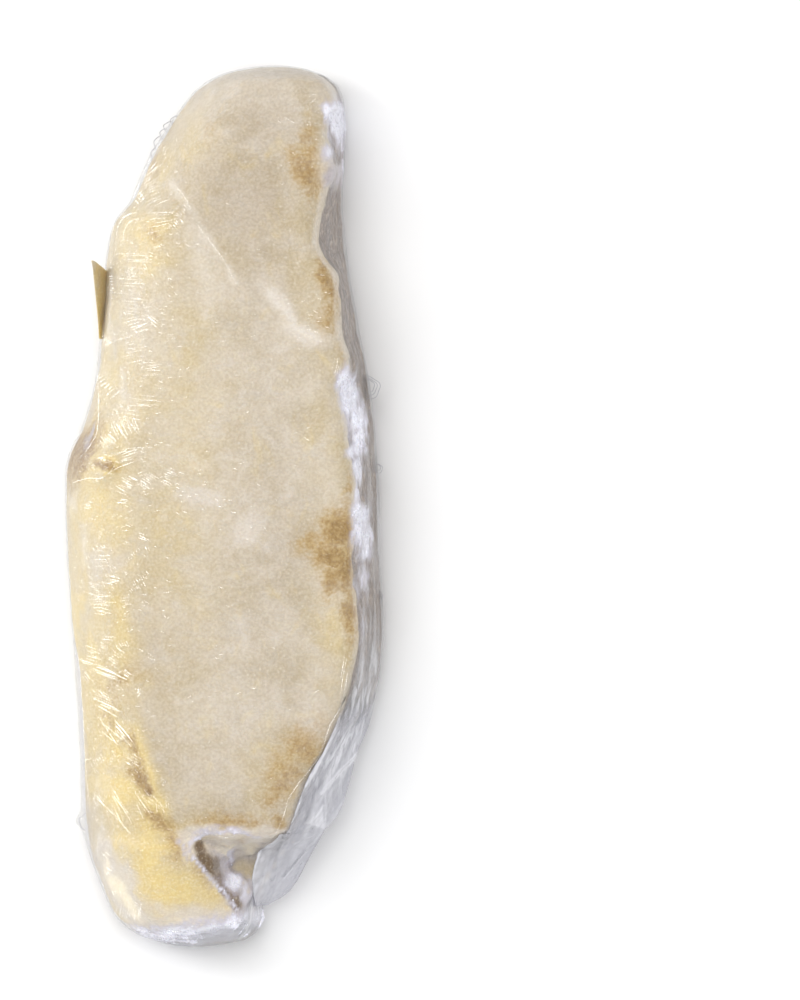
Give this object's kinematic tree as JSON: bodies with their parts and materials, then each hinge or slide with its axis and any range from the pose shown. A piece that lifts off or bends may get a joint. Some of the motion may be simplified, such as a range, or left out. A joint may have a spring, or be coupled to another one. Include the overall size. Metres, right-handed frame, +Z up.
{
  "type": "frozen salt cod loin in clear film",
  "caption": "Long, thick cod loin, soaked and frozen, lying skin side down in tight clear shrink film, with a notch by the tail end that loose film spans.",
  "frame": {"origin": "on the surface that the loin lies on, under the middle of its box", "axes": "+Y from the narrow tail end to the head end, +X from the thin belly side to the thick skin side, +Z up out of the flesh side"},
  "size_m": [0.0746, 0.208, 0.0407],
  "materials": {
    "cod_flesh": "frozen cream to straw-yellow cod flesh with grey-brown skin on one side and white frost, under clear gloss film",
    "clear_film": "clear, glossy shrink film, creased and slightly milky where it stands off the fish"
  },
  "bodies": {
    "root": {"cod_loin": "cod_flesh", "loose_film": "clear_film"}
  },
  "joints": []
}
